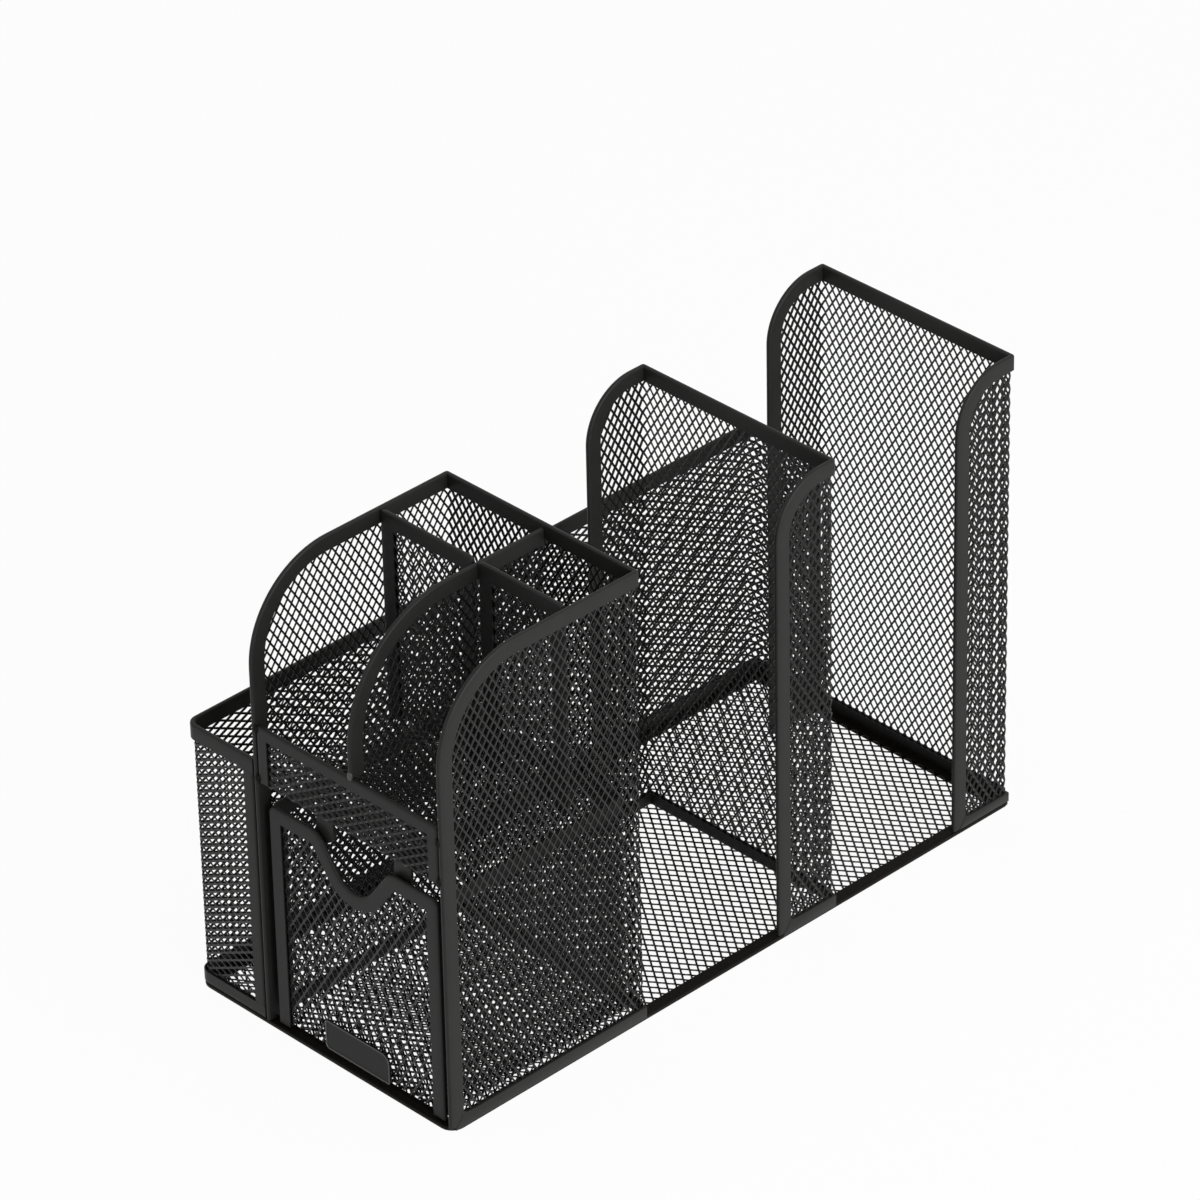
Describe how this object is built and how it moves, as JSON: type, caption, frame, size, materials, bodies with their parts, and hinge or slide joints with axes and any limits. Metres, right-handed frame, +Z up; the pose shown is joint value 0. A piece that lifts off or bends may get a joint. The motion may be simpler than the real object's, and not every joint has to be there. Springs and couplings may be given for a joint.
{
  "type": "mesh countertop organizer",
  "caption": "Black expanded-mesh coffee station organizer with a drawer under packet and stirrer bays, a napkin trough along one side and open cup bays behind.",
  "frame": {"origin": "middle of the base's outline on the resting surface", "axes": "+Z up; Y along the length, from the drawer front (-Y) to the cup bays (+Y); X across, the napkin trough at -X"},
  "size_m": [0.132, 0.285, 0.1935],
  "materials": {
    "folded_strip": "satin black powder coat",
    "mesh_sheet": "satin black powder coat on expanded sheet",
    "label_plate": "smooth satin black, bare"
  },
  "bodies": {
    "frame": {"base_rim": "folded_strip", "base_mesh": "mesh_sheet", "right_wall_rim": "folded_strip", "right_wall_foot": "folded_strip", "right_wall_mesh": "mesh_sheet", "left_wall_rim": "folded_strip", "left_wall_foot": "folded_strip", "left_wall_mesh": "mesh_sheet", "rear_wall_rim": "folded_strip", "rear_wall_foot": "folded_strip", "rear_wall_mesh": "mesh_sheet", "shelf_mesh": "mesh_sheet", "lip_mesh": "mesh_sheet", "lip_rim": "folded_strip", "divider_rim": "folded_strip", "divider_mesh": "mesh_sheet", "cross_wall_left_rim": "folded_strip", "cross_wall_left_mesh": "mesh_sheet", "cross_wall_right_rim": "folded_strip", "cross_wall_right_mesh": "mesh_sheet", "drawer_stop_left": "folded_strip", "drawer_stop_right": "folded_strip", "napkin_rim": "folded_strip", "napkin_foot": "folded_strip", "napkin_front_post": "folded_strip", "napkin_rear_post": "folded_strip", "napkin_side_mesh": "mesh_sheet", "napkin_front_mesh": "mesh_sheet", "napkin_rear_mesh": "mesh_sheet", "cradle_1_back_rim": "folded_strip", "cradle_1_back_foot": "folded_strip", "cradle_1_back_mesh": "mesh_sheet", "cradle_1_right_wing_rim": "folded_strip", "cradle_1_right_wing_foot": "folded_strip", "cradle_1_right_wing_mesh": "mesh_sheet", "cradle_1_left_wing_rim": "folded_strip", "cradle_1_left_wing_foot": "folded_strip", "cradle_1_left_wing_mesh": "mesh_sheet", "cradle_2_back_rim": "folded_strip", "cradle_2_back_foot": "folded_strip", "cradle_2_back_mesh": "mesh_sheet", "cradle_2_right_wing_rim": "folded_strip", "cradle_2_right_wing_foot": "folded_strip", "cradle_2_right_wing_mesh": "mesh_sheet", "cradle_2_left_wing_rim": "folded_strip", "cradle_2_left_wing_foot": "folded_strip", "cradle_2_left_wing_mesh": "mesh_sheet"},
    "drawer": {"drawer_front_rim": "folded_strip", "drawer_front_mesh": "mesh_sheet", "label_plate": "label_plate", "drawer_floor_mesh": "mesh_sheet", "drawer_left_mesh": "mesh_sheet", "drawer_right_mesh": "mesh_sheet", "drawer_back_mesh": "mesh_sheet", "drawer_rim": "folded_strip"}
  },
  "joints": [
    {"name": "drawer_slide", "type": "slide", "parent": "frame", "child": "drawer", "axis": [0, -1, 0], "range_m": [0, 0.08]}
  ]
}
